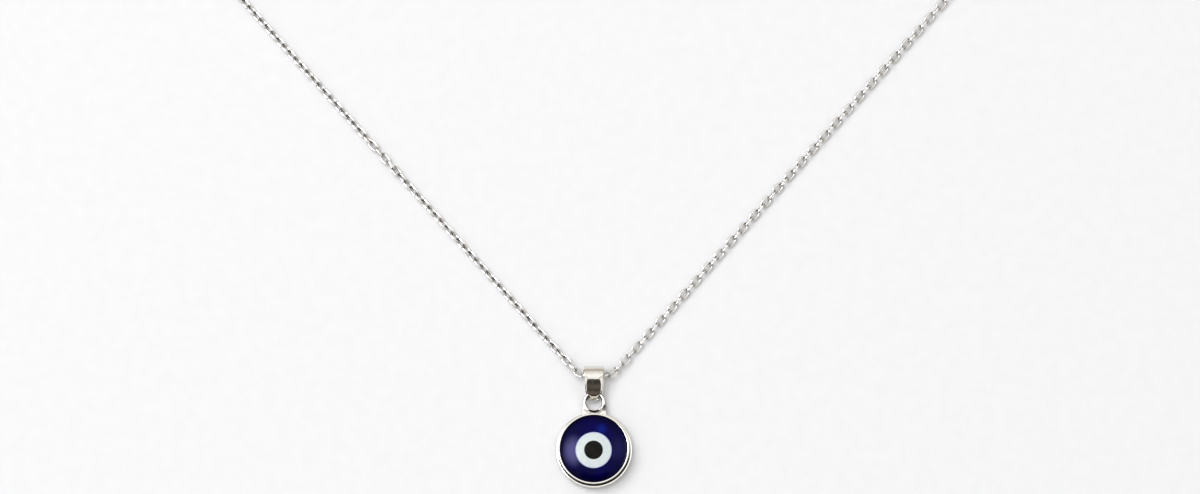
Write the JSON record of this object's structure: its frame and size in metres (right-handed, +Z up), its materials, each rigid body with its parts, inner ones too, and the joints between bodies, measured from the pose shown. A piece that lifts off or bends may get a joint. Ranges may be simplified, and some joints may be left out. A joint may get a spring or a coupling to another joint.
{
  "type": "evil eye pendant necklace",
  "caption": "Domed glass evil eye in a round silver-toned setting with an ear and strap bail, on a fine cable chain closed by a barrel clasp, laid flat.",
  "frame": {"origin": "centre of the setting's flat back, on the surface that the necklace lies on", "axes": "+Z up out of the glass eye and away from the surface, +Y from the eye to the bail and the clasp, +X to the right as seen from above"},
  "size_m": [0.1462, 0.1431, 0.0041],
  "materials": {
    "setting_metal": "mirror polished rhodium plate",
    "blue_glass": "glossy fused cobalt glass",
    "white_glass": "glossy opaque white glass",
    "black_glass": "glossy opaque black glass",
    "bail_metal": "mirror polished rhodium plate",
    "chain_metal": "polished rhodium plate",
    "clasp_metal": "polished rhodium plate"
  },
  "bodies": {
    "root": {"setting": "setting_metal", "glass_blue": "blue_glass", "glass_white": "white_glass", "glass_pupil": "black_glass", "bail": "bail_metal", "chain": "chain_metal", "clasp": "clasp_metal"}
  },
  "joints": []
}
